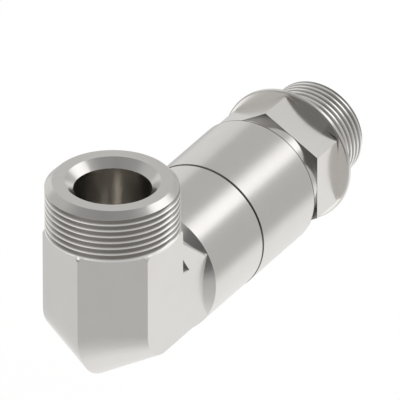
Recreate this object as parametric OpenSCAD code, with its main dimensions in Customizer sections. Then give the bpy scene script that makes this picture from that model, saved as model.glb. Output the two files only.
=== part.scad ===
// Ninety-degree live swivel elbow for a hydraulic line.
// The swivel axis runs along +Y and the port points up along +Z. The origin lies on the swivel axis where
// the stud's thread begins. Stations are lengths along the swivel axis, counted from the port's axis.
// Radii are built inward from the hexagon, and stations outward from the port.

/* [Elbow block] */
// Width across the flats of both hexagons
hex_af = 38.1; // [34:0.1:42]
// How far the collar stands outside the hexagon's corners
collar_rise = 0.1; // [0:0.05:1]
// Length of full collar ahead of the bearing's seat
collar_lead = 4.5; // [3.5:0.1:6]
// Slope of the collar's front cone, from the swivel axis
collar_cone = 45; // [40:1:50]
// How far the collar's cone reaches in under the flats
collar_cone_depth = 1; // [0.5:0.1:2]
// Height of the corner web on the column, above the arm's upper flats
web_rise = 12.4; // [10:0.1:14]
// Rounding along the web's upper edges
web_round = 1; // [0.4:0.1:1.5]
// Height of the pocket that the web leaves in the inner corner
web_pocket_h = 5.8; // [4:0.1:7]
// Width of that pocket
web_pocket_w = 4; // [3:0.1:6]
// Chamfer on both edges of the joint
joint_chamfer = 0.3; // [0.1:0.05:0.6]

/* [Port] */
// Height of the port's sealing face above the swivel axis
port_h = 45.4; // [42:0.1:52]
// Major diameter of the port's thread
port_thread_d = 42.86; // [40:0.01:46]
// Length from the foot of the thread to the sealing face
port_thread_len = 17.2; // [14:0.1:18]
// Length of the chamfer that leads onto the thread
port_lead = 2.28; // [1.5:0.01:3]
// Width of the sealing face
port_face_w = 4; // [3:0.1:4.6]
// Diameter of the flow passage under the port
port_bore_d = 24.8; // [20:0.1:25.5]
// Height of the plain corner tops under the thread
corner_land = 0.8; // [0.4:0.1:1.2]

/* [Stem] */
// Length of neck that shows between the sleeve and the hexagon
neck_show = 7; // [4:0.1:10]
// Length of the stem's hexagon
stem_hex_len = 13.4; // [10:0.1:18]
// Length over which the hexagon's rear corners are turned down
hex_chamfer = 0.9; // [0.4:0.1:1.4]
// How far those corners are turned in
hex_corner_cut = 2.15; // [1:0.05:2.5]
// How far the flange stands outside the hexagon's corners
flange_lip = 0.9; // [0.4:0.1:3]
// Thickness of the flange
flange_t = 1.75; // [1.2:0.05:4]
// Major diameter of the stud's thread
stud_thread_d = 33.34; // [31:0.01:36]
// Length of the stud's full thread
stud_thread_len = 15.6; // [12:0.1:20]
// Length of the chamfer at the stud's end
stud_chamfer = 1.5; // [0.8:0.1:2]
// Depth of the relief between the flange and the thread
relief_depth = 1.77; // [1.5:0.01:2.2]
// Chamfer at the mouth of the stem's flow passage
mouth_chamfer = 1.5; // [0.5:0.1:2]
// Metal round the flow passage at the nose
nose_wall = 3; // [2:0.1:4]
// Step from the nose up to the journal that carries the balls
nose_step = 1.9; // [1.7:0.1:2.5]
// Step from the journal up to the neck
neck_step = 3.05; // [2.8:0.01:3.4]
// Metal between the port's passage and the stem's nose
nose_land = 3.6; // [2:0.1:6]

/* [Sleeve] */
// How far the sleeve stands outside the collar
sleeve_rise = 0.15; // [0:0.05:0.6]
// Length of the sleeve that shows behind the joint
sleeve_len = 33; // [29:0.1:40]
// Length of the sleeve's threaded spigot
spigot_len = 8.5; // [6.5:0.1:10]
// Depth of the thread that holds the spigot in the collar
spigot_thread = 0.52; // [0.4:0.01:0.7]
// Metal of the collar round that thread
collar_wall = 2; // [1.6:0.1:2.4]
// Chamfer on the sleeve's rear edge
sleeve_chamfer = 0.3; // [0.1:0.1:0.6]
// Distance from the joint to the thrust washer's seat
thrust_seat = 9.9; // [7:0.1:12]

/* [Bearing] */
// Diameter of the balls
ball_d = 3.969; // [3.5:0.001:4.4]
// Thickness of the race rings
ring_wall = 2.58; // [2.3:0.01:3]
// Room between the race rings and the journal
race_room = 1.1; // [0.8:0.1:1.4]
// Width of the front and the rear race ring
ring_w = 4.1; // [3.5:0.1:5]
// Distance between the two rows of balls
row_step = 8; // [7:0.1:10]
// Thickness of the shim that sets the bearing's play
shim_t = 0.5; // [0.3:0.1:0.8]
// Thickness of the thrust washer behind the bearing
thrust_t = 1.9; // [1.5:0.1:2.5]

/* [Seals] */
// Width of the step in the elbow that the stem's nose faces
nose_ledge = 2; // [1.5:0.1:3]
// Thickness of the nose washer
nose_washer_t = 0.75; // [0.5:0.05:1.2]
// Section of the pressure seal
seal_section = 2.18; // [1.8:0.01:2.6]
// Room for the pressure seal between its back-up rings
seal_room = 3.7; // [3:0.1:4.5]
// Width of a back-up ring
backup_w = 1.3; // [1:0.1:1.6]
// Thickness of the two guide rings
guide_t = 1.35; // [1:0.05:1.6]
// Width of the nose guide ring
nose_guide_w = 3.1; // [2.5:0.1:4]
// Width of the sleeve's guide ring
sleeve_guide_w = 6; // [4:0.1:7]
// Section of the grease seal in the sleeve
grease_section = 1.68; // [1.4:0.01:1.9]
// Section of the still seal on the spigot
joint_seal_section = 1.2; // [1:0.05:1.5]
// Section of the seal at the stud's foot
stud_seal_section = 2.6; // [2.3:0.05:3]
// Width of the wiper ring
wiper_w = 2.8; // [2:0.1:3.5]
// Radial thickness of the wiper ring
wiper_t = 1.7; // [1.4:0.1:2]

/* [Hidden] */
$fn = 96;

// Clearances
running_gap = 0.05;    // radial, between faces that turn on each other
seat_gap = 0.02;       // radial, between pieces fitted to each other
axial_play = 0.05;     // along the swivel axis, where a washer runs
seal_gap = 0.035;      // round a ring seal in its groove
stud_seal_gap = 0.1;   // on each side of the stud's seal
race_gap = 0.046;      // round a ball in its groove
ball_gap = 0.03;       // between a ball's side and halfway to the next ball
edge_gap = 0.3;        // between a washer's rim and the wall beside it
spigot_room = 0.35;    // between the race rings' bore and the spigot's
groove_wall = 1.6;     // metal left between two grooves
grease_room = 1;       // how much wider the grease seal's groove is than the seal
joint_seal_room = 0.6; // how much wider the still seal's groove is than the seal

// Small edges
spigot_lead = 0.5;
spigot_runout = 1;
nose_chamfer = 0.7;
seal_lead = 1.4;       // from the nose's end to the first back-up ring
journal_lead = 0.4;
neck_chamfer = 0.8;
flange_edge = 0.3;
wiper_inset = 0.1;
wiper_lip = 0.5;
web_inset = 0.03;      // how far the web's sides lie inside the flats
drill_angle = 59;      // half the angle of a drill's point
drill_overrun = 8;     // how far each drilled passage runs past the other's axis
cut = 1;               // how far a cutter passes a face

// Radii, from the hexagon inward
hex_half = hex_af / 2;
hex_corner = hex_half / cos(30);
hex_edge = hex_corner / 2;
collar_r = hex_corner + collar_rise;
sleeve_r = collar_r + sleeve_rise;
spigot_r = collar_r - collar_wall;
ring_r = spigot_r - spigot_thread;
ring_bore_r = ring_r - ring_wall;
spigot_bore_r = ring_bore_r + spigot_room;
journal_r = ring_bore_r - race_room;
ball_pitch_r = (ring_bore_r + journal_r) / 2;
race_r = ball_d / 2 + race_gap;
ball_count = floor(180 / asin((ball_d / 2 + ball_gap) / ball_pitch_r));
neck_r = journal_r + neck_step;
sleeve_bore_r = neck_r + running_gap;
nose_r = journal_r - nose_step;
nose_bore_r = nose_r + running_gap;
seal_groove_r = nose_r + seal_section + 2 * seal_gap;
stem_bore_r = nose_r - nose_wall;
run_bore_r = nose_r - nose_ledge;
flange_r = hex_corner + flange_lip;
stud_r = stud_thread_d / 2;
relief_r = stud_r - relief_depth;
port_r = port_thread_d / 2;
port_face_r = port_r - port_lead;
port_seat_r = port_face_r - port_face_w;
port_bore_r = port_bore_d / 2;
port_foot = port_h - port_thread_len;

// Stations along the swivel axis, from the port outward
nose_seat = port_bore_r + nose_land;
nose_start = nose_seat + nose_washer_t + axial_play;
seal_start = nose_start + seal_lead;
seal_len = seal_room + 2 * backup_w;
nose_guide_start = seal_start + seal_len + groove_wall;
bearing_seat = nose_guide_start + nose_guide_w + 2 * axial_play + groove_wall;
collar_start = bearing_seat - collar_lead;
row_1 = bearing_seat + ring_w;
row_2 = row_1 + row_step;
shim_start = row_2 + ring_w;
spigot_start = shim_start + shim_t;
joint_station = spigot_start + spigot_len;
thrust_start = joint_station + thrust_seat;
neck_start = thrust_start + thrust_t + 2 * axial_play;
sleeve_end = joint_station + sleeve_len;
stem_hex_start = sleeve_end + neck_show;
flange_start = stem_hex_start + stem_hex_len;
flange_end = flange_start + flange_t;
stud_start = flange_end + stud_seal_section + 2 * stud_seal_gap;
stud_end = stud_start + stud_thread_len;
stud_tip = stud_end + stud_chamfer;
wiper_start = sleeve_end - wiper_w;
grease_start = wiper_start - groove_wall - grease_section - grease_room;
sleeve_guide_start = grease_start - groove_wall - sleeve_guide_w - 2 * axial_play;
joint_seal_start = joint_station - groove_wall - joint_seal_section - joint_seal_room;

// Places children that are drawn round the port's axis.
module at_port() {
    translate([0, -stud_start, 0]) children();
}

// Places children that are drawn along +Z so that they run along the swivel axis from a station.
module at_station(s) {
    translate([0, s - stud_start, 0]) rotate([-90, 0, 0]) children();
}

// A solid turned round the swivel axis from an outline of radius and station.
module turned(outline) {
    at_station(0) rotate_extrude() polygon(outline);
}

// A plain ring round the swivel axis.
module ring(inner_r, outer_r, start, width) {
    turned([[inner_r, start], [outer_r, start], [outer_r, start + width], [inner_r, start + width]]);
}

// A ring seal of round section.
module round_ring(centre_r, station, section) {
    at_station(station) rotate_extrude() translate([centre_r, 0]) circle(d = section, $fn = 48);
}

// Hexagonal bar along +Z with two flats facing left and right.
module hex_bar(len) {
    rotate([0, 0, 90]) cylinder(r = hex_corner, h = len, $fn = 6);
}

// The hexagon's section turned about the cross axis, which carries the column round into the arm.
module hex_knuckle() {
    rotate([0, 90, 0]) rotate_extrude() polygon([
        [0, -hex_half], [hex_edge, -hex_half], [hex_corner, 0], [hex_edge, hex_half], [0, hex_half]
    ]);
}

// Column under the port, its corners turned down to the thread just below it.
module column() {
    land = port_foot - corner_land;
    intersection() {
        hex_bar(port_foot);
        rotate_extrude()
            polygon([[0, 0], [port_r + land, 0], [port_r, land], [port_r, port_foot], [0, port_foot]]);
    }
}

// The web's section, seen along its slope: almost as wide as the flats, with its upper edges rounded.
module web_section() {
    half = hex_half - web_inset;
    translate([-half, -web_rise]) square([2 * half, web_rise - web_round]);
    translate([web_round - half, -web_rise]) square([2 * (half - web_round), web_rise]);
    for (side = [-1, 1])
        translate([side * (half - web_round), -web_round]) circle(r = web_round);
}

// Web that slopes from the column down to the collar. Its near side leaves the bottom of the valley between
// the two hexagons open, as a small pocket on each flat.
module corner_web() {
    run = collar_start - hex_edge;
    slope = atan2(web_rise, run);
    intersection() {
        translate([0, collar_start, hex_edge]) rotate([90 - slope, 0, 0])
            linear_extrude(run + web_rise) web_section();
        translate([-hex_half - cut, 0, 0]) rotate([90, 0, 90]) linear_extrude(hex_af + 2 * cut) polygon([
            [hex_edge - web_pocket_w / 2, hex_edge + 1.5 * web_pocket_h],
            [hex_edge + 1.5 * web_pocket_w, hex_edge - web_pocket_h / 2],
            [collar_start, hex_edge - web_pocket_h / 2], [collar_start, hex_edge + web_rise],
            [hex_edge - web_pocket_w / 2, hex_edge + web_rise]
        ]);
    }
}

// Threaded port at the top, with its lead-in chamfer.
module port_spigot() {
    rotate_extrude() polygon([
        [0, port_foot], [port_r, port_foot], [port_r, port_h - port_lead], [port_face_r, port_h], [0, port_h]
    ]);
}

// Outline of a drilled passage that runs up to a given height, from the drill's point.
function drilled(r, top) = [
    [0, -drill_overrun - r / tan(drill_angle)], [r, -drill_overrun], [r, top], [0, top]
];

// Flow passage from the port down past the swivel axis, and the tapered seat at its mouth.
module port_passage() {
    rotate_extrude() polygon(drilled(port_bore_r, port_h));
    rotate_extrude() polygon([
        [0, port_h - (port_seat_r - port_bore_r)], [port_bore_r, port_h - (port_seat_r - port_bore_r)],
        [port_seat_r, port_h], [port_seat_r, port_h + cut], [0, port_h + cut]
    ]);
}

// Collar that houses the bearing, with the cone that runs down into the hexagonal arm.
module collar() {
    foot_r = hex_half - collar_cone_depth;
    cone_start = collar_start - (collar_r - foot_r) / tan(collar_cone);
    turned([
        [0, cone_start], [foot_r, cone_start], [collar_r, collar_start],
        [collar_r, joint_station - joint_chamfer], [collar_r - joint_chamfer, joint_station], [0, joint_station]
    ]);
}

// Everything bored into the elbow along the swivel axis.
module elbow_bores() {
    ring_pocket_r = ring_r + seat_gap;
    thread_r = spigot_r + running_gap;
    thread_start = spigot_start - spigot_runout;
    turned(drilled(run_bore_r, nose_seat + cut));
    turned([
        [0, nose_seat], [nose_bore_r, nose_seat], [nose_bore_r, bearing_seat],
        [ring_pocket_r, bearing_seat], [ring_pocket_r, thread_start],
        [thread_r, thread_start], [thread_r, joint_station + cut], [0, joint_station + cut]
    ]);
    ring(nose_r, seal_groove_r, seal_start, seal_len);
    ring(nose_r, nose_bore_r + guide_t, nose_guide_start, nose_guide_w + 2 * axial_play);
}

module elbow_body() {
    color([0.77, 0.76, 0.74]) difference() {
        union() {
            at_port() {
                column();
                hex_knuckle();
                corner_web();
                port_spigot();
            }
            at_station(0) hex_bar(collar_start);
            collar();
        }
        at_port() port_passage();
        elbow_bores();
    }
}

module bearing_sleeve() {
    color([0.78, 0.77, 0.75]) difference() {
        turned([
            [spigot_bore_r, spigot_start], [spigot_r - spigot_lead, spigot_start],
            [spigot_r, spigot_start + spigot_lead], [spigot_r, joint_station],
            [sleeve_r - joint_chamfer, joint_station], [sleeve_r, joint_station + joint_chamfer],
            [sleeve_r, sleeve_end - sleeve_chamfer], [sleeve_r - sleeve_chamfer, sleeve_end],
            [sleeve_bore_r, sleeve_end], [sleeve_bore_r, thrust_start], [spigot_bore_r, thrust_start]
        ]);
        ring(spigot_r - joint_seal_section, sleeve_r, joint_seal_start, joint_seal_section + joint_seal_room);
        ring(neck_r, sleeve_bore_r + guide_t, sleeve_guide_start, sleeve_guide_w + 2 * axial_play);
        ring(neck_r, neck_r + grease_section + 2 * seal_gap, grease_start, grease_section + grease_room);
        ring(neck_r, sleeve_bore_r + wiper_t, wiper_start, wiper_w + cut);
    }
}

// Hexagon of the stem, its rear corners turned down where they meet the flange.
module stem_hex() {
    turn_start = flange_start - hex_chamfer;
    intersection() {
        at_station(stem_hex_start) hex_bar(stem_hex_len);
        turned([
            [0, stem_hex_start], [hex_corner + cut, stem_hex_start], [hex_corner + cut, turn_start],
            [hex_corner, turn_start], [hex_corner - hex_corner_cut, flange_start], [0, flange_start]
        ]);
    }
}

module swivel_stem() {
    color([0.79, 0.78, 0.76]) difference() {
        union() {
            turned([
                [0, nose_start], [nose_r - nose_chamfer, nose_start], [nose_r, nose_start + nose_chamfer],
                [nose_r, bearing_seat + journal_lead], [journal_r, bearing_seat + journal_lead],
                [journal_r, neck_start], [neck_r - neck_chamfer, neck_start], [neck_r, neck_start + neck_chamfer],
                [neck_r, stem_hex_start], [journal_r, stem_hex_start], [journal_r, flange_start],
                [flange_r - flange_edge, flange_start], [flange_r, flange_start + flange_edge],
                [flange_r, flange_end - flange_edge], [flange_r - flange_edge, flange_end],
                [relief_r, flange_end], [relief_r, stud_start], [stud_r, stud_start],
                [stud_r, stud_end], [stud_r - stud_chamfer, stud_tip], [0, stud_tip]
            ]);
            stem_hex();
        }
        turned([
            [0, nose_start - cut], [stem_bore_r, nose_start - cut], [stem_bore_r, stud_tip - mouth_chamfer],
            [stem_bore_r + mouth_chamfer, stud_tip], [stem_bore_r + mouth_chamfer, stud_tip + cut],
            [0, stud_tip + cut]
        ]);
        for (row = [row_1, row_2])
            round_ring(ball_pitch_r, row, 2 * race_r);
    }
}

// A race ring: a plain ring with a quarter or half groove cut at each row of balls that it meets.
module race_ring(start, width) {
    color([0.62, 0.63, 0.65]) difference() {
        ring(ring_bore_r, ring_r, start, width);
        for (row = [row_1, row_2])
            round_ring(ball_pitch_r, row, 2 * race_r);
    }
}

module race_ring_front() { race_ring(bearing_seat, ring_w); }
module race_ring_middle() { race_ring(row_1, row_step); }
module race_ring_rear() { race_ring(row_2, ring_w); }

module bearing_shim() {
    color([0.7, 0.6, 0.35]) ring(spigot_bore_r, ring_r, shim_start, shim_t);
}

// One full row of balls.
module balls(station) {
    color([0.85, 0.85, 0.86]) at_station(station)
        for (i = [0 : ball_count - 1])
            rotate([0, 0, i * 360 / ball_count]) translate([ball_pitch_r, 0, 0]) sphere(d = ball_d, $fn = 48);
}

module balls_front() { balls(row_1); }
module balls_rear() { balls(row_2); }

module thrust_washer() {
    color([0.72, 0.55, 0.3])
        ring(journal_r + edge_gap, neck_r - edge_gap, thrust_start + axial_play, thrust_t);
}

module nose_washer() {
    color([0.92, 0.91, 0.86]) ring(run_bore_r, nose_r - edge_gap, nose_seat, nose_washer_t);
}

module backup_ring(start) {
    color([0.93, 0.92, 0.88]) ring(nose_bore_r, seal_groove_r - seat_gap, start, backup_w);
}

module backup_ring_front() { backup_ring(seal_start); }
module backup_ring_rear() { backup_ring(seal_start + backup_w + seal_room); }

module pressure_seal() {
    color([0.1, 0.1, 0.1])
        round_ring(nose_r + seal_gap + seal_section / 2, seal_start + seal_len / 2, seal_section);
}

module nose_guide_ring() {
    color([0.55, 0.35, 0.2])
        ring(nose_bore_r, nose_r + guide_t, nose_guide_start + axial_play, nose_guide_w);
}

module joint_seal() {
    color([0.1, 0.1, 0.1]) round_ring(
        spigot_r - joint_seal_section / 2 + seat_gap,
        joint_seal_start + (joint_seal_section + joint_seal_room) / 2, joint_seal_section);
}

module sleeve_guide_ring() {
    color([0.55, 0.35, 0.2])
        ring(sleeve_bore_r, neck_r + guide_t, sleeve_guide_start + axial_play, sleeve_guide_w);
}

module grease_seal() {
    color([0.1, 0.1, 0.1]) round_ring(
        neck_r + seal_gap + grease_section / 2,
        grease_start + (grease_section + grease_room) / 2, grease_section);
}

// Wiper that keeps dirt out of the running gap, its lip leaning out along the neck.
module wiper_ring() {
    face = sleeve_end - wiper_inset;
    color([0.12, 0.12, 0.13]) turned([
        [sleeve_bore_r + wiper_lip, wiper_start], [neck_r + wiper_t, wiper_start], [neck_r + wiper_t, face],
        [sleeve_bore_r + 1.4 * wiper_lip, face], [sleeve_bore_r + wiper_lip, face - wiper_lip],
        [sleeve_bore_r, face - wiper_inset], [sleeve_bore_r, face - wiper_inset - wiper_lip]
    ]);
}

module stud_seal() {
    color([0.1, 0.1, 0.1]) round_ring(
        relief_r + seal_gap + stud_seal_section / 2, (flange_end + stud_start) / 2, stud_seal_section);
}

elbow_body();
bearing_sleeve();
swivel_stem();
race_ring_front();
race_ring_middle();
race_ring_rear();
bearing_shim();
balls_front();
balls_rear();
thrust_washer();
nose_washer();
backup_ring_front();
pressure_seal();
backup_ring_rear();
nose_guide_ring();
joint_seal();
sleeve_guide_ring();
grease_seal();
wiper_ring();
stud_seal();
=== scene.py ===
# %% [markdown]
# # Ninety-degree live swivel elbow
# A hydraulic fitting of bright nickel-plated steel. A threaded port points up, a hexagonal column turns
# through a right angle into an arm, and a threaded stud leaves the far end through a bearing sleeve, a
# polished neck and a second hexagon. The solids come finished from CAD. What this notebook adds is what a
# plain solid lacks: the two threads, the tiny rounds that every milled edge has, the finishes, the light and
# the camera.

# %% Load the solids
import math

import bmesh
import bpy
from mathutils import Matrix, Vector


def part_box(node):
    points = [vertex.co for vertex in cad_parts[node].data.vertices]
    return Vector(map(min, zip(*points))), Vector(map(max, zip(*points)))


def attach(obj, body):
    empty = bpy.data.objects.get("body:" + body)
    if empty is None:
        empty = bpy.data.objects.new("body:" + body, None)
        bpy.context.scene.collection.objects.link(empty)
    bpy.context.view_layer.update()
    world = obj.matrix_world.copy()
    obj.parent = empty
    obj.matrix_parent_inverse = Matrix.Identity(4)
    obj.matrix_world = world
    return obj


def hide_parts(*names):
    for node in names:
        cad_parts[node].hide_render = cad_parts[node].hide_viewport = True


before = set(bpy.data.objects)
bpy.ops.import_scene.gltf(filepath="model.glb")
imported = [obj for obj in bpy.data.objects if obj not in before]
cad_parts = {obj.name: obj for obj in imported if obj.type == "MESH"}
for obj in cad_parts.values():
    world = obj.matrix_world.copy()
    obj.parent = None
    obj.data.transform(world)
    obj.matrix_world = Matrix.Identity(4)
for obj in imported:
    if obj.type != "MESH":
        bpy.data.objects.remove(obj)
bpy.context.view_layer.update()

# %% [markdown]
# ## Sizes
# The drawing is in millimetres and Blender works in metres, so one factor turns one into the other. The few
# lengths that later cells share could be typed in again, but most are read off the solids, because then they
# stay right when a solid changes. The origin lies where the stud's thread starts. The port's axis stands half
# a hexagon's width over corners behind the part's front end.

# %% The few sizes that the looks share
MM = 0.001
hex_half = 19.05 * MM
hex_corner = hex_half / math.cos(math.radians(30))
port_axis_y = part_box("elbow_body")[0].y + hex_corner
port_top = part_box("elbow_body")[1].z
sleeve_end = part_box("bearing_sleeve")[1].y
stud_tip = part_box("swivel_stem")[1].y
print("port axis at y = %.2f mm, port face at z = %.2f mm" % (port_axis_y / MM, port_top / MM))

# %% [markdown]
# ## The camera
# The photograph was taken from 30 degrees to the side and 30 degrees above, and parallel edges stay parallel
# in it. An orthographic camera would give that too. A very long lens from far away was chosen, because it
# keeps the trace of depth that a real picture has. Its scale is set to be true halfway along the part, so
# that the little perspective left is shared between both ends.

# %% Camera
FRAME_WIDTH = 126.4 * MM  # what the picture spans where its scale is true
LENS = 1600.0
SENSOR = 36.0
azimuth, elevation = math.radians(30), math.radians(30)
towards_camera = Vector((
    math.sin(azimuth) * math.cos(elevation), -math.cos(azimuth) * math.cos(elevation), math.sin(elevation)))
picture_centre = Vector((15.35, -86.0, 28.75)) * MM  # a point near the port that the picture's middle shows
halfway_back = 38.0 * MM  # how far behind that point the part's middle lies
look_at = picture_centre - towards_camera * halfway_back

camera_data = bpy.data.cameras.new("camera")
camera_data.lens = LENS
camera_data.sensor_width = SENSOR
distance = FRAME_WIDTH * LENS / SENSOR
camera_data.clip_start = distance * 0.5
camera_data.clip_end = distance * 2
camera = bpy.data.objects.new("camera", camera_data)
bpy.context.scene.collection.objects.link(camera)
camera.location = look_at + towards_camera * distance
camera.rotation_mode = "QUATERNION"
camera.rotation_quaternion = (-towards_camera).to_track_quat("-Z", "Y")
bpy.context.scene.camera = camera
bpy.context.scene.view_settings.view_transform = "Standard"
print("camera %.2f m away" % distance)

# %% [markdown]
# ## Working on one piece at a time
# Operators act on whatever is selected, and the import leaves every solid selected. Each cell could clear the
# selection for itself. Small helpers do it instead, which keeps the later cells short: one picks a single
# object, one applies its modifiers, and one prints its faces, open edges and volume.

# %% Helpers for selecting and finishing
def only(piece):
    """Leave edit mode, and make this piece the only one selected, and the active one."""
    if bpy.context.object and bpy.context.object.mode != "OBJECT":
        bpy.ops.object.mode_set(mode="OBJECT")
    bpy.ops.object.select_all(action="DESELECT")
    piece.select_set(True)
    bpy.context.view_layer.objects.active = piece


def apply_all(piece):
    only(piece)
    for modifier in list(piece.modifiers):
        bpy.ops.object.modifier_apply(modifier=modifier.name)


def size_report(piece):
    mesh = bmesh.new()
    mesh.from_mesh(piece.data)
    open_edges = sum(1 for edge in mesh.edges if not edge.is_manifold)
    print("%s: %d faces, %d open edges, %.1f cm3" % (
        piece.name, len(mesh.faces), open_edges, mesh.calc_volume() * 1e6))
    mesh.free()


only(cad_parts["elbow_body"])
size_report(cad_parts["elbow_body"])

# %% [markdown]
# ## A working copy of a solid
# Edge rounds and threads need a closed skin, and a solid's faces are loose triangles. The solid itself stays
# as it is. A copy is merged into one skin instead, and triangles that lie in one plane are joined into whole
# faces, so that an edge of the real part is one clean run of edges that can be rounded.

# %% Copy a solid
SAME_POINT = 0.002 * MM
SAME_PLANE = math.radians(0.3)


def working_copy(node, name):
    """A closed copy of a node's mesh. The node's object sits at the origin, so the copy does too."""
    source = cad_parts[node]
    piece = bpy.data.objects.new(name, source.data.copy())
    piece.data.name = name
    bpy.context.scene.collection.objects.link(piece)
    only(piece)
    bpy.ops.mesh.customdata_custom_splitnormals_clear()
    bpy.ops.object.mode_set(mode="EDIT")
    bpy.ops.mesh.select_all(action="SELECT")
    bpy.ops.mesh.remove_doubles(threshold=SAME_POINT)
    bpy.ops.mesh.dissolve_limited(angle_limit=SAME_PLANE)
    bpy.ops.mesh.select_all(action="DESELECT")
    bpy.ops.object.mode_set(mode="OBJECT")
    size_report(piece)
    return piece


elbow = working_copy("elbow_body", "elbow_block")
stem = working_copy("swivel_stem", "stem_with_stud")

# %% [markdown]
# ## Edge rounds
# A milled edge that has been deburred and plated keeps a round of one or two tenths of a millimetre. It is
# too small to see as a shape, but it catches the light as a thin bright line. A Bevel modifier would round
# every sharp edge alike. Here the edges are picked by their angle and their place, because only outward edges
# on the outside are rounded, and the bores stay sharp, as a reamer leaves them.

# %% Round the outward edges
SHARP = math.radians(22)
SLIVER = 0.004 * MM


def round_edges(piece, width, wanted):
    """Round the outward edges whose middle point is wanted, and merge the slivers that this leaves."""
    only(piece)
    bpy.ops.object.mode_set(mode="EDIT")
    bpy.ops.mesh.select_mode(type="EDGE")
    mesh = bmesh.from_edit_mesh(piece.data)
    picked = 0
    for edge in mesh.edges:
        if len(edge.link_faces) == 2 and edge.calc_face_angle_signed() > SHARP:
            if wanted((edge.verts[0].co + edge.verts[1].co) / 2):
                edge.select_set(True)
                picked += 1
    bmesh.update_edit_mesh(piece.data)
    bpy.ops.mesh.bevel(offset=width, segments=3, affect="EDGES", clamp_overlap=True)
    bpy.ops.mesh.select_all(action="SELECT")
    bpy.ops.mesh.remove_doubles(threshold=SLIVER)
    bpy.ops.mesh.dissolve_degenerate(threshold=SLIVER)
    bpy.ops.mesh.select_all(action="DESELECT")
    bpy.ops.object.mode_set(mode="OBJECT")
    print("%s: %d edges rounded by %.2f mm" % (piece.name, picked, width / MM))
    size_report(piece)


def axis_radius(point):
    """Distance from the swivel axis."""
    return math.hypot(point.x, point.z)


def port_radius(point):
    """Distance from the port's axis."""
    return math.hypot(point.x, point.y - port_axis_y)


INSIDE_FLATS = 18.9 * MM  # just under the hexagons' flats: what lies beyond it is outside
COLUMN_TOP = 27.0 * MM  # over this height stand only the port's neck and thread
CHAMFER_BAND = 3 * MM  # the port's end face and lead-in chamfer lie in this band under its top
CHAMFER_INSIDE = 18 * MM
COLUMN_REACH = 15 * MM  # the column's back ends this far behind the port's axis, where the arm takes over


def elbow_outside(point):
    """The rim of the port, and every edge of the column, the arm and the collar."""
    if point.z > COLUMN_TOP:
        return port_radius(point) > CHAMFER_INSIDE and point.z > port_top - CHAMFER_BAND
    if axis_radius(point) > INSIDE_FLATS:
        return True
    return point.y < port_axis_y + COLUMN_REACH and port_radius(point) > INSIDE_FLATS


round_edges(elbow, width=0.15 * MM, wanted=elbow_outside)

# %% [markdown]
# ## The threads
# Both threads are cut at twelve to the inch with a sixty degree form, a crest with eased shoulders and a
# narrow flat at the root. The shoulders catch the light as bright lines. A bump map or a stack of plain rings
# could stand in for a thread, but neither has a true lead-in on the chamfer. A real thread is cut by a
# pointed tool that travels along while the work turns, so the same is done here: a Screw modifier winds the
# tool's outline into a long helix, and the next cell takes that helix away from the plain cylinder.

# %% Wind the cutting tool into a helix
PITCH = 25.4 / 12 * MM
STEPS = 96  # points in one turn
PORT_CREST = 21.43 * MM  # radii of the two threads over their crests
STUD_CREST = 16.67 * MM
FLANK_SLOPE = math.tan(math.radians(30))
SHOULDER_SLOPE = math.tan(math.radians(8))
EASE_DEPTH = 0.13 * MM  # one steep step stands for the small round between a shoulder and its flank
EASE_WIDTH = 0.11 * MM
ABOVE_CREST = 0.1 * MM  # the tool stands out over the crest, so that the cut is clean
CREST_ANGLE = math.radians(-60)  # where round the axis a crest passes the height that is asked for
CLEAR_OF_WORK = 0.2 * MM  # how far past the crest the tool is drawn back at a run-out


def groove_outline(crest_flat, shoulder, depth):
    """Half of the groove's outline, from above the crest to the root, as pairs of depth and half width."""
    top = (PITCH - crest_flat) / 2
    drop = shoulder * SHOULDER_SLOPE
    eased = drop + EASE_DEPTH
    side = top - shoulder - EASE_WIDTH
    root = side - (depth - eased) * FLANK_SLOPE
    return [(-ABOVE_CREST, top + 0.01 * MM), (0.0, top), (drop, top - shoulder), (eased, side), (depth, root)]


def close_ends(tool, corners):
    """Fill the two open ends of the wound outline, and turn every face outward."""
    bpy.ops.object.mode_set(mode="EDIT")
    bpy.ops.mesh.select_mode(type="EDGE")
    bpy.ops.mesh.select_all(action="DESELECT")
    bpy.ops.mesh.select_non_manifold(extend=False, use_boundary=True, use_wire=False, use_multi_face=False,
                                     use_non_contiguous=False, use_verts=False)
    bpy.ops.mesh.fill_holes(sides=corners)
    bpy.ops.mesh.select_all(action="SELECT")
    bpy.ops.mesh.normals_make_consistent(inside=False)
    bpy.ops.object.mode_set(mode="OBJECT")


def helix_cutter(name, radius, flank, first, turns, crest_height, run_in=0, run_out=0):
    """A groove's volume round +Z, of so many turns from height first, with a crest at crest_height."""
    start = crest_height - PITCH / 2
    start -= math.ceil((start - first) / PITCH) * PITCH
    bpy.ops.object.select_all(action="DESELECT")
    outline = [(depth, -half) for depth, half in reversed(flank)] + flank
    bpy.ops.mesh.primitive_circle_add(vertices=len(outline), radius=radius, fill_type="NOTHING")
    tool = bpy.context.object
    tool.name = name
    corners = [(radius - depth, half) for depth, half in outline]
    for vertex, (r, z) in zip(tool.data.vertices, corners):
        vertex.co = (r * math.cos(CREST_ANGLE), r * math.sin(CREST_ANGLE), start + z)
    screw = tool.modifiers.new("wind", "SCREW")
    screw.axis = "Z"
    screw.angle = math.tau * turns
    screw.screw_offset = PITCH * turns
    screw.steps = screw.render_steps = round(STEPS * turns)
    screw.use_normal_calculate = True
    apply_all(tool)
    close_ends(tool, len(outline))
    # At its ends the real tool is drawn out of the work over part of a turn, so the groove runs out.
    drawn_back = flank[-1][0] + CLEAR_OF_WORK
    for index, vertex in enumerate(tool.data.vertices):
        turn = index // len(outline) / STEPS
        entering = (run_in - turn) / run_in if run_in else 0
        leaving = (turn - turns + run_out) / run_out if run_out else 0
        r = math.hypot(vertex.co.x, vertex.co.y)
        grown = (r + max(0.0, entering, leaving) * drawn_back) / r
        vertex.co.x *= grown
        vertex.co.y *= grown
    size_report(tool)
    return tool


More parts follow.
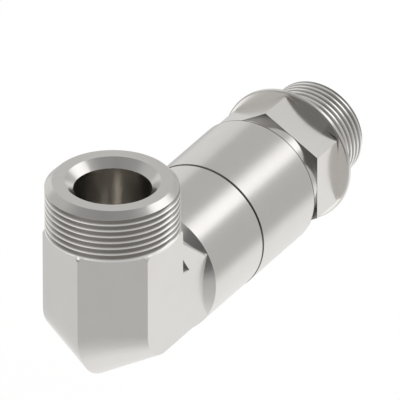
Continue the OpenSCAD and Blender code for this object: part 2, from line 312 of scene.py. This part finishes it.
port_flank = groove_outline(crest_flat=0.14 * MM, shoulder=0.12 * MM, depth=1.3 * MM)
port_tool = helix_cutter("port_tool", PORT_CREST, port_flank, first=28.9 * MM, turns=7.6,
                         crest_height=41.45 * MM, run_in=0.4, run_out=0.3)
port_tool.data.transform(Matrix.Translation((0, port_axis_y, 0)))

# %% [markdown]
# ## Cutting
# What the tool sweeps through turns to chips, and a Boolean modifier does the same with two closed skins. The
# groove could also be pushed in by moving the cylinder's own points, but its mesh has too few of them. The
# exact solver is slower than the fast one. It was chosen because it leaves a closed skin where the groove
# runs out through the chamfer at a shallow angle.

# %% Cut the port's thread
def cut_with(piece, tool):
    boolean = piece.modifiers.new("cut", "BOOLEAN")
    boolean.operation = "DIFFERENCE"
    boolean.solver = "EXACT"
    boolean.object = tool
    apply_all(piece)
    bpy.data.objects.remove(tool)
    size_report(piece)


cut_with(elbow, port_tool)

# %% [markdown]
# The stud's thread is cut by the same kind of tool. It starts in the relief behind the flange, where the tool
# has room to enter, and runs off the chamfer at the stud's free end, so it needs no run-out of its own. The
# hexagon's edges are rounded first, while the skin is still simple.

# %% Cut the stud's thread
stud_turns = (stud_tip + 5.0 * MM) / PITCH
stud_flank = groove_outline(crest_flat=0.2 * MM, shoulder=0.24 * MM, depth=1.16 * MM)
stud_tool = helix_cutter("stud_tool", STUD_CREST, stud_flank, first=-3.0 * MM, turns=stud_turns,
                         crest_height=8.0 * MM)
stud_tool.data.transform(Matrix.Rotation(math.radians(-90), 4, "X"))


def stem_outside(point):
    """The hexagon and the flange, between the sleeve's mouth and the stud's thread."""
    return sleeve_end < point.y <= -2.0 * MM and axis_radius(point) > INSIDE_FLATS


round_edges(stem, width=0.12 * MM, wanted=stem_outside)
cut_with(stem, stud_tool)

# %% [markdown]
# ## Shading the metal skins
# A flat must mirror as a flat right up to its edge, and a turned face must look turned. Smoothing everything
# would bend the mirror image near each edge, and smoothing nothing would show facets. So smoothing is limited
# to shallow angles, and the big faces then get the say over the small rounds next to them.

# %% Smooth by angle, weighted by face
SMOOTH_UNDER = math.radians(32)


def shade(piece):
    only(piece)
    bpy.ops.object.shade_smooth_by_angle(angle=SMOOTH_UNDER)
    weighted = piece.modifiers.new("weighted", "WEIGHTED_NORMAL")
    weighted.mode = "FACE_AREA"
    weighted.weight = 100
    weighted.keep_sharp = True
    apply_all(piece)


for piece, node, body in ((elbow, "elbow_body", "elbow"), (stem, "swivel_stem", "stem")):
    shade(piece)
    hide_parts(node)
    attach(piece, body)
    print(piece.name, "stands for", node)

# %% [markdown]
# ## Colours and small node helpers
# Colours are written as sRGB hex, and one function turns them to the linear values that shaders want. The
# finishes could be wired node by node, but they repeat the same few steps, so small helpers add a node with
# its settings, mix two colours, make soft clouds and end in one surface shader.

# %% Colour and node helpers
def colour(hex_code):
    parts = [int(hex_code[i:i + 2], 16) / 255 for i in (1, 3, 5)]
    return [p / 12.92 if p <= 0.04045 else ((p + 0.055) / 1.055) ** 2.4 for p in parts] + [1.0]


def add_node(tree, kind, settings=None, **links):
    """Add a node. Settings name a property, or an input by name or number. Links join sockets to inputs."""
    node = tree.nodes.new(kind)
    for key, value in (settings or {}).items():
        if isinstance(key, str) and hasattr(node, key):
            setattr(node, key, value)
        else:
            node.inputs[key].default_value = value
    for key, socket in links.items():
        tree.links.new(socket, node.inputs[key.replace("_", " ")])
    return node


def new_material(name):
    """An empty material, and its node tree."""
    material = bpy.data.materials.new(name)
    material.use_nodes = True
    tree = material.node_tree
    tree.nodes.clear()
    return material, tree


def place_on_piece(tree):
    """Where a point lies on its piece, in metres of the drawing's frame."""
    return add_node(tree, "ShaderNodeTexCoord").outputs["Object"]


def clouds(tree, size_mm, detail=2.0):
    """Soft noise, with clouds of about this size."""
    settings = {"Scale": 1 / (size_mm * MM), "Detail": detail}
    return add_node(tree, "ShaderNodeTexNoise", settings, Vector=place_on_piece(tree)).outputs["Fac"]


def mix_colours(tree, low, high, share):
    """A blend of two hex colours. The Mix node keeps its pair of colours in inputs 6 and 7."""
    settings = {"data_type": "RGBA", 6: colour(low), 7: colour(high)}
    return add_node(tree, "ShaderNodeMix", settings, Factor=share).outputs[2]


def surface(tree, tint, metallic, roughness, **links):
    """The shader that every finish ends in."""
    shader = add_node(tree, "ShaderNodeBsdfPrincipled", {"Metallic": metallic, "Roughness": roughness},
                      Base_Color=tint, **links)
    add_node(tree, "ShaderNodeOutputMaterial", Surface=shader.outputs["BSDF"])
    return shader


print("half grey in linear light:", round(colour("#808080")[0], 3))

# %% [markdown]
# ## Nickel plate on turned and milled steel
# Bright nickel is a slightly warm white metal, cooler than silver and softer than chrome. Its thickness
# drifts a little over some millimetres, and the tone drifts with it. The tool lines under the plate are far
# finer than a pixel of this picture. They could be drawn as a bump, which would only sparkle, so a roughness
# stands for them instead: most on the turned sleeve, less on the milled flats, least on the ground stem.
# Both ends of the sleeve get a thin dark line of painted shade, which stands for the shadow in the joint in
# front of the sleeve and in the gap at its mouth.

# %% Plated steel
PLATE_THIN = "#E0DDDA"
PLATE_THICK = "#E4E3E1"
# A dark grey painted on both ends of the sleeve, as shade in the joint and in the gap at its mouth.
PAINTED_JOINT_SHADE = "#7A7774"


def plated_steel(name, roughness, cloud_mm, unshaded_stretch=None):
    """Nickel plate. Outside the given stretch, from one y to another, it is darkened with painted shade."""
    material, tree = new_material(name)
    skin = mix_colours(tree, PLATE_THIN, PLATE_THICK, clouds(tree, cloud_mm))
    if unshaded_stretch is not None:
        middle, reach = sum(unshaded_stretch) / 2, (unshaded_stretch[1] - unshaded_stretch[0]) / 2
        along = add_node(tree, "ShaderNodeSeparateXYZ", None, Vector=place_on_piece(tree))
        between = add_node(tree, "ShaderNodeMath", {"operation": "COMPARE", 1: middle, 2: reach},
                           Value=along.outputs["Y"])
        # Outside the stretch the plate is painted dark, as shade in the joint and at the sleeve's mouth.
        shaded_ends = add_node(tree, "ShaderNodeMix", {"data_type": "RGBA", 6: colour(PAINTED_JOINT_SHADE)},
                         Factor=between.outputs[0])
        tree.links.new(skin, shaded_ends.inputs[7])
        skin = shaded_ends.outputs[2]
    surface(tree, skin, metallic=1.0, roughness=roughness)
    return material


def dress(piece, material):
    piece.data.materials.clear()
    piece.data.materials.append(material)


# The plate keeps its colour between these two y; painted shade darkens the sleeve's ends beyond them.
unshaded_part = (sleeve_end - 32.45 * MM, sleeve_end - 0.65 * MM)
milled_nickel = plated_steel("nickel_on_milled_steel", roughness=0.23, cloud_mm=9.0)
turned_nickel = plated_steel("nickel_on_turned_steel", roughness=0.25, cloud_mm=7.0, unshaded_stretch=unshaded_part)
ground_nickel = plated_steel("nickel_on_ground_steel", roughness=0.2, cloud_mm=8.0)
dress(elbow, milled_nickel)
dress(stem, ground_nickel)
dress(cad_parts["bearing_sleeve"], turned_nickel)
print("three finishes of one plate")

# %% [markdown]
# ## Bore finish
# The bores are honed, and the hone's strokes run up and down, so a reflection is smeared round the wall. The
# strokes could be cut as fine scratches, but an anisotropic shader gives the same smear at no cost. Light
# runs down the hole in hops, dims a little at each one and comes back as a soft upright glow between black
# sides. Cycles stops after four glossy hops, which would leave the whole hole black, so one more is allowed.

# %% Bored steel
GLOSSY_HOPS = 5


def bored_steel(name):
    material, tree = new_material(name)
    tint = mix_colours(tree, "#F9F6F2", "#FBF9F5", clouds(tree, 6.0))
    around = add_node(tree, "ShaderNodeTangent", {"direction_type": "RADIAL", "axis": "Z"})
    wall = surface(tree, tint, metallic=1.0, roughness=0.18, Tangent=around.outputs["Tangent"])
    wall.inputs["Anisotropic"].default_value = 0.75
    return material


bored_nickel = bored_steel("nickel_in_bored_hole")
bpy.context.scene.cycles.glossy_bounces = GLOSSY_HOPS
print("glossy hops:", GLOSSY_HOPS)

# %% [markdown]
# ## Thread finish
# A thread's roots are painted darker, as shade deep in the groove, and its crests lighter, partly as metal
# worn bright by nuts and partly as a painted highlight. Crests and roots could be two materials, but their
# border would be hard. Here the colour follows the depth below the crest, which is the distance from the
# thread's own axis. The cut metal has a fine grain of a few hundredths of a millimetre. It is drawn about ten
# times coarser and very weak, because at its real size it wouldn't show.

# %% Threaded steel
# Painted shade for the roots, and a lighter crest colour that is partly worn metal and partly a painted
# highlight.
PAINTED_ROOT_SHADE = "#BFBCB9"
CREST_LIGHT = "#F8F7F5"
CREST_LIGHT_FROM, CREST_LIGHT_TO = 0.32 * MM, 0.12 * MM  # depths: dull below the first, bright above the second
GRAIN_MM = 0.4


def threaded_nickel(name, centre, across, crest):
    """Plate on a thread whose axis goes through centre. across is 1 in the directions square to it."""
    material, tree = new_material(name)
    offset = add_node(tree, "ShaderNodeVectorMath", {"operation": "SUBTRACT", 1: centre})
    tree.links.new(place_on_piece(tree), offset.inputs[0])
    flat = add_node(tree, "ShaderNodeVectorMath", {"operation": "MULTIPLY", 1: across})
    tree.links.new(offset.outputs["Vector"], flat.inputs[0])
    length = add_node(tree, "ShaderNodeVectorMath", {"operation": "LENGTH"})
    tree.links.new(flat.outputs["Vector"], length.inputs[0])
    # Painted shade in the roots fades to a lighter crest that is partly worn metal and partly a painted
    # highlight.
    crest_light_share = add_node(tree, "ShaderNodeMapRange", {
        "interpolation_type": "SMOOTHSTEP", "From Min": crest - CREST_LIGHT_FROM, "From Max": crest - CREST_LIGHT_TO},
        Value=length.outputs["Value"])
    tint = mix_colours(tree, PAINTED_ROOT_SHADE, CREST_LIGHT, crest_light_share.outputs["Result"])
    relief = add_node(tree, "ShaderNodeBump", {"Strength": 0.02, "Distance": 0.01 * MM},
                      Height=clouds(tree, GRAIN_MM))
    surface(tree, tint, metallic=1.0, roughness=0.2, Normal=relief.outputs["Normal"])
    return material


port_thread_nickel = threaded_nickel("nickel_on_port_thread", (0, port_axis_y, 0), (1, 1, 0), PORT_CREST)
stud_thread_nickel = threaded_nickel("nickel_on_stud_thread", (0, 0, 0), (1, 0, 1), STUD_CREST)
print("one finish for each thread")

# %% [markdown]
# ## Which face gets which finish
# On the real part the plate is one skin, and only the work under it changes from face to face. The faces
# could be picked by hand, but a face's place and the way it looks say enough: a bore's wall looks towards
# the bore's axis, and a thread lies between two heights and two radii. So one short rule picks each finish.

# %% Lay the finishes on the faces
def finish_faces(piece, material, wanted):
    piece.data.materials.append(material)
    slot = len(piece.data.materials) - 1
    count = 0
    for face in piece.data.polygons:
        if wanted(face.center, face.normal):
            face.material_index = slot
            count += 1
    print("%s: %s on %d faces" % (piece.name, material.name, count))


def in_elbow_bore(point, normal):
    """A wall that looks towards its own axis, in the port's bore or in the arm's."""
    to_port_axis = normal.x * point.x + normal.y * (point.y - port_axis_y) < 0
    if to_port_axis and port_radius(point) < 12.6 * MM and -13 * MM < point.z < 43 * MM:
        return True
    to_swivel_axis = normal.x * point.x + normal.z * point.z < 0
    return to_swivel_axis and axis_radius(point) < 12.3 * MM


def in_stem_bore(point, normal):
    """Nothing else of the stem comes this close to the axis."""
    return axis_radius(point) < 11.2 * MM


def on_port_thread(point, normal):
    """From the thread's lower end to the lead-in chamfer, without the chamfer itself."""
    on_chamfer = point.z > 43.0 * MM and 0.6 < normal.z < 0.8
    along = 28.25 * MM < point.z < 44.6 * MM
    return along and 19.9 * MM < port_radius(point) < PORT_CREST + 0.01 * MM and not on_chamfer


def on_stud_thread(point, normal):
    """From the flange's relief to the stud's free end."""
    return point.y > 0.2 * MM and 15.0 * MM < axis_radius(point) < STUD_CREST + 0.01 * MM


def on_neck(point, normal):
    """The bare stretch between the sleeve's mouth and the hexagon."""
    return sleeve_end - 4 * MM < point.y < -16 * MM and axis_radius(point) < 19.4 * MM


finish_faces(elbow, bored_nickel, in_elbow_bore)
finish_faces(elbow, port_thread_nickel, on_port_thread)
finish_faces(stem, bored_nickel, in_stem_bore)
finish_faces(stem, stud_thread_nickel, on_stud_thread)
finish_faces(stem, milled_nickel, on_neck)

# %% [markdown]
# ## Rubber, plastic and bearing metals
# The rest sits inside and shows only at the sleeve's mouth, behind the flange, or when the part is opened.
# Nitrile rubber is matt black with a faint bloom, the guide rings are bronze-filled plastic, the back-up
# rings are white low-friction plastic, and the bearing is hardened steel. Each could have a node tree of its
# own, but at this size they differ only in colour, shine and the size of their clouds, so one function makes
# them all.

# %% Inner finishes
def plain_finish(name, low, high, metallic, roughness, cloud_mm):
    material, tree = new_material(name)
    drift = clouds(tree, cloud_mm, detail=4.0)
    relief = add_node(tree, "ShaderNodeBump", {"Strength": 0.1, "Distance": 0.02 * MM}, Height=drift)
    surface(tree, mix_colours(tree, low, high, drift), metallic, roughness, Normal=relief.outputs["Normal"])
    return material


# Each finish: its two colours, how metallic and rough it is, its clouds in millimetres, and who wears it.
FINISHES = {
    "moulded_nitrile_rubber": (("#191919", "#262524", 0.0, 0.62, 1.5),
                               ["wiper_ring", "stud_seal", "grease_seal", "joint_seal", "pressure_seal"]),
    "turned_white_plastic": (("#E4E2DA", "#EEECE6", 0.0, 0.45, 2.0),
                             ["nose_washer", "backup_ring_front", "backup_ring_rear"]),
    "bronze_filled_plastic": (("#6E4A2C", "#86603A", 0.0, 0.5, 0.6),
                              ["nose_guide_ring", "sleeve_guide_ring"]),
    "turned_bronze": (("#B98A4E", "#C79A5E", 1.0, 0.3, 1.2), ["thrust_washer"]),
    "rolled_brass_shim": (("#C9AC62", "#D3B873", 1.0, 0.28, 1.2), ["bearing_shim"]),
    "ground_bearing_steel": (("#A9ABAE", "#B6B8BA", 1.0, 0.22, 1.0),
                             ["race_ring_front", "race_ring_middle", "race_ring_rear"]),
    "lapped_ball_steel": (("#D2D3D5", "#DCDDDE", 1.0, 0.06, 1.0), ["balls_front", "balls_rear"]),
}
for name, (values, nodes) in FINISHES.items():
    finish = plain_finish(name, *values)
    for node in nodes:
        dress(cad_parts[node], finish)
print(len(FINISHES), "inner finishes")

# %% [markdown]
# ## The room
# Polished metal has no colour of its own to show: it shows the room. The room could be built of planes, or
# come from a picture of a real one. A world of a few soft patches was chosen, because each grey on the metal
# can then be set by moving one patch. A direction is given by its compass angle and its height.

# %% Directions and soft patches
world = bpy.data.worlds.new("studio")
bpy.context.scene.world = world
world.use_nodes = True
room = world.node_tree
room.nodes.clear()
ray = add_node(room, "ShaderNodeTexCoord").outputs["Generated"]


def towards(azimuth_degrees, elevation_degrees):
    """A direction by its compass angle, from the far side (+Y) to the right (+X), and its height."""
    turn, height = math.radians(azimuth_degrees), math.radians(elevation_degrees)
    return Vector((math.sin(turn) * math.cos(height), math.cos(turn) * math.cos(height), math.sin(height)))


def patch(direction, inside, outside):
    """1 up to inside degrees away from a direction, and falling softly to 0 at outside degrees."""
    closeness = add_node(room, "ShaderNodeVectorMath", {"operation": "DOT_PRODUCT", 1: direction})
    room.links.new(ray, closeness.inputs[0])
    return add_node(room, "ShaderNodeMapRange", {
        "interpolation_type": "SMOOTHSTEP", "From Min": math.cos(math.radians(outside)),
        "From Max": math.cos(math.radians(inside))}, Value=closeness.outputs["Value"]).outputs["Result"]


def blend(under, over, share):
    """One brightness painted over another. Either is a number or a socket."""
    mix = add_node(room, "ShaderNodeMix", {"data_type": "FLOAT"}, Factor=share)
    for socket, value in zip(mix.inputs[2:4], (under, over)):
        if isinstance(value, float):
            socket.default_value = value
        else:
            room.links.new(value, socket)
    return mix.outputs[0]


print("towards the camera:", [round(c, 2) for c in towards(150, 30)])

# %% [markdown]
# ## The world
# The room itself can't be seen in the photograph, but the greys on the metal fit one kind of room: a light
# floor and light far walls, a dim ceiling over the camera, the camera's own stand as a dark patch beside it,
# and a dark card to the right, which puts the deep greys on the flange and the thread. The camera sees white
# where it sees no object. The metal could see that white too, but it would lose all its greys if it mirrored
# white all round, so only camera rays see it.

# %% World
WALL, CEILING, CARD, STAND = 0.55, 0.34, 0.135, 0.19
FLOOR_FAR, FLOOR_NEAR, FLOOR_LEFT = 0.96, 0.55, 0.74
level = blend(WALL, CEILING, patch(towards(170, 62), 25, 58))
level = blend(level, CARD, patch(towards(130, 17), 20, 40))
level = blend(level, STAND, patch(towards(163, 37), 8, 24))
floor_level = blend(FLOOR_FAR, FLOOR_LEFT, patch(towards(-95, -28), 16, 44))
floor_level = blend(floor_level, FLOOR_NEAR, patch(towards(135, -10), 5, 74))
level = blend(level, floor_level, patch(towards(0, -90), 60, 74))
seen = add_node(room, "ShaderNodeLightPath")
room_light = add_node(room, "ShaderNodeBackground", {"Color": (1.0, 0.992, 0.98, 1.0)}, Strength=level)
white = add_node(room, "ShaderNodeBackground", {"Color": (1.0, 1.0, 1.0, 1.0), "Strength": 1.0})
pick = add_node(room, "ShaderNodeMixShader", None, Fac=seen.outputs["Is Camera Ray"])
room.links.new(room_light.outputs[0], pick.inputs[1])
room.links.new(white.outputs[0], pick.inputs[2])
add_node(room, "ShaderNodeOutputWorld", Surface=pick.outputs[0])
print("world of", len(room.nodes), "nodes")

# %% [markdown]
# ## Soft boxes
# A large soft box stands behind the part on the right. The sleeve sees only its lower left corner, which
# makes the narrow bright band, while the port's chamfer sees all of it. A smaller, weaker one stands on the
# left. They could be bright patches of the world too, but area lamps give cleaner light for the same number
# of samples. Their size is given as the angle that they fill, as seen from the part.

# %% Lamps
part_middle = Vector((0, -60 * MM, 0))
BOX_AWAY = 3.0


def soft_box(name, place, half_width, half_height, radiance):
    """A rectangle of light. Its half sizes are angles in degrees, and radiance is how bright it looks."""
    width = 2 * BOX_AWAY * math.tan(math.radians(half_width))
    height = 2 * BOX_AWAY * math.tan(math.radians(half_height))
    data = bpy.data.lights.new(name, "AREA")
    data.shape = "RECTANGLE"
    data.size, data.size_y = width, height
    data.energy = radiance * math.pi * width * height
    lamp = bpy.data.objects.new(name, data)
    bpy.context.scene.collection.objects.link(lamp)
    lamp.location = part_middle + place * BOX_AWAY
    lamp.rotation_mode = "QUATERNION"
    lamp.rotation_quaternion = (-place).to_track_quat("-Z", "Y")
    print("%s: %.2f by %.2f m" % (name, width, height))


soft_box("key_box", towards(45, 37.5), half_width=20.5, half_height=12.5, radiance=0.85)
soft_box("side_box", towards(-56, 12), half_width=23, half_height=22, radiance=0.25)

# %% [markdown]
# ## Floor
# The part in the photograph floats on white, with hardly a shadow. A shadow catcher could stand for the
# floor, but a real plane is simpler: a grey paint that takes the soft shadow, and a glow that only the camera
# sees, so that it reads as white without lighting the part. The floor that the metal mirrors is the world's,
# so the plane is hidden from glossy rays.

# %% Floor
FLOOR_SIZE = 6.0
FLOOR_DROP = 75 * MM
FLOOR_PAINT = "#6A6A6A"
FLOOR_GLOW = 0.93

bpy.ops.object.select_all(action="DESELECT")
bpy.ops.mesh.primitive_plane_add(size=FLOOR_SIZE, location=(0, 0, 0))
floor = bpy.context.object
floor.name = "floor"
floor.data.transform(Matrix.Translation(part_middle - Vector((0, 0, FLOOR_DROP))))
floor.visible_glossy = False
pale, tree = new_material("pale_floor")
paint = add_node(tree, "ShaderNodeBsdfDiffuse", {"Color": colour(FLOOR_PAINT)})
camera_ray = add_node(tree, "ShaderNodeLightPath")
share = add_node(tree, "ShaderNodeMath", {"operation": "MULTIPLY", 1: FLOOR_GLOW})
tree.links.new(camera_ray.outputs["Is Camera Ray"], share.inputs[0])
glow = add_node(tree, "ShaderNodeEmission", {"Color": (1, 1, 1, 1)}, Strength=share.outputs[0])
both = add_node(tree, "ShaderNodeAddShader")
tree.links.new(paint.outputs[0], both.inputs[0])
tree.links.new(glow.outputs[0], both.inputs[1])
add_node(tree, "ShaderNodeOutputMaterial", Surface=both.outputs[0])
dress(floor, pale)
print("floor %.0f mm under the swivel axis" % (FLOOR_DROP / MM))
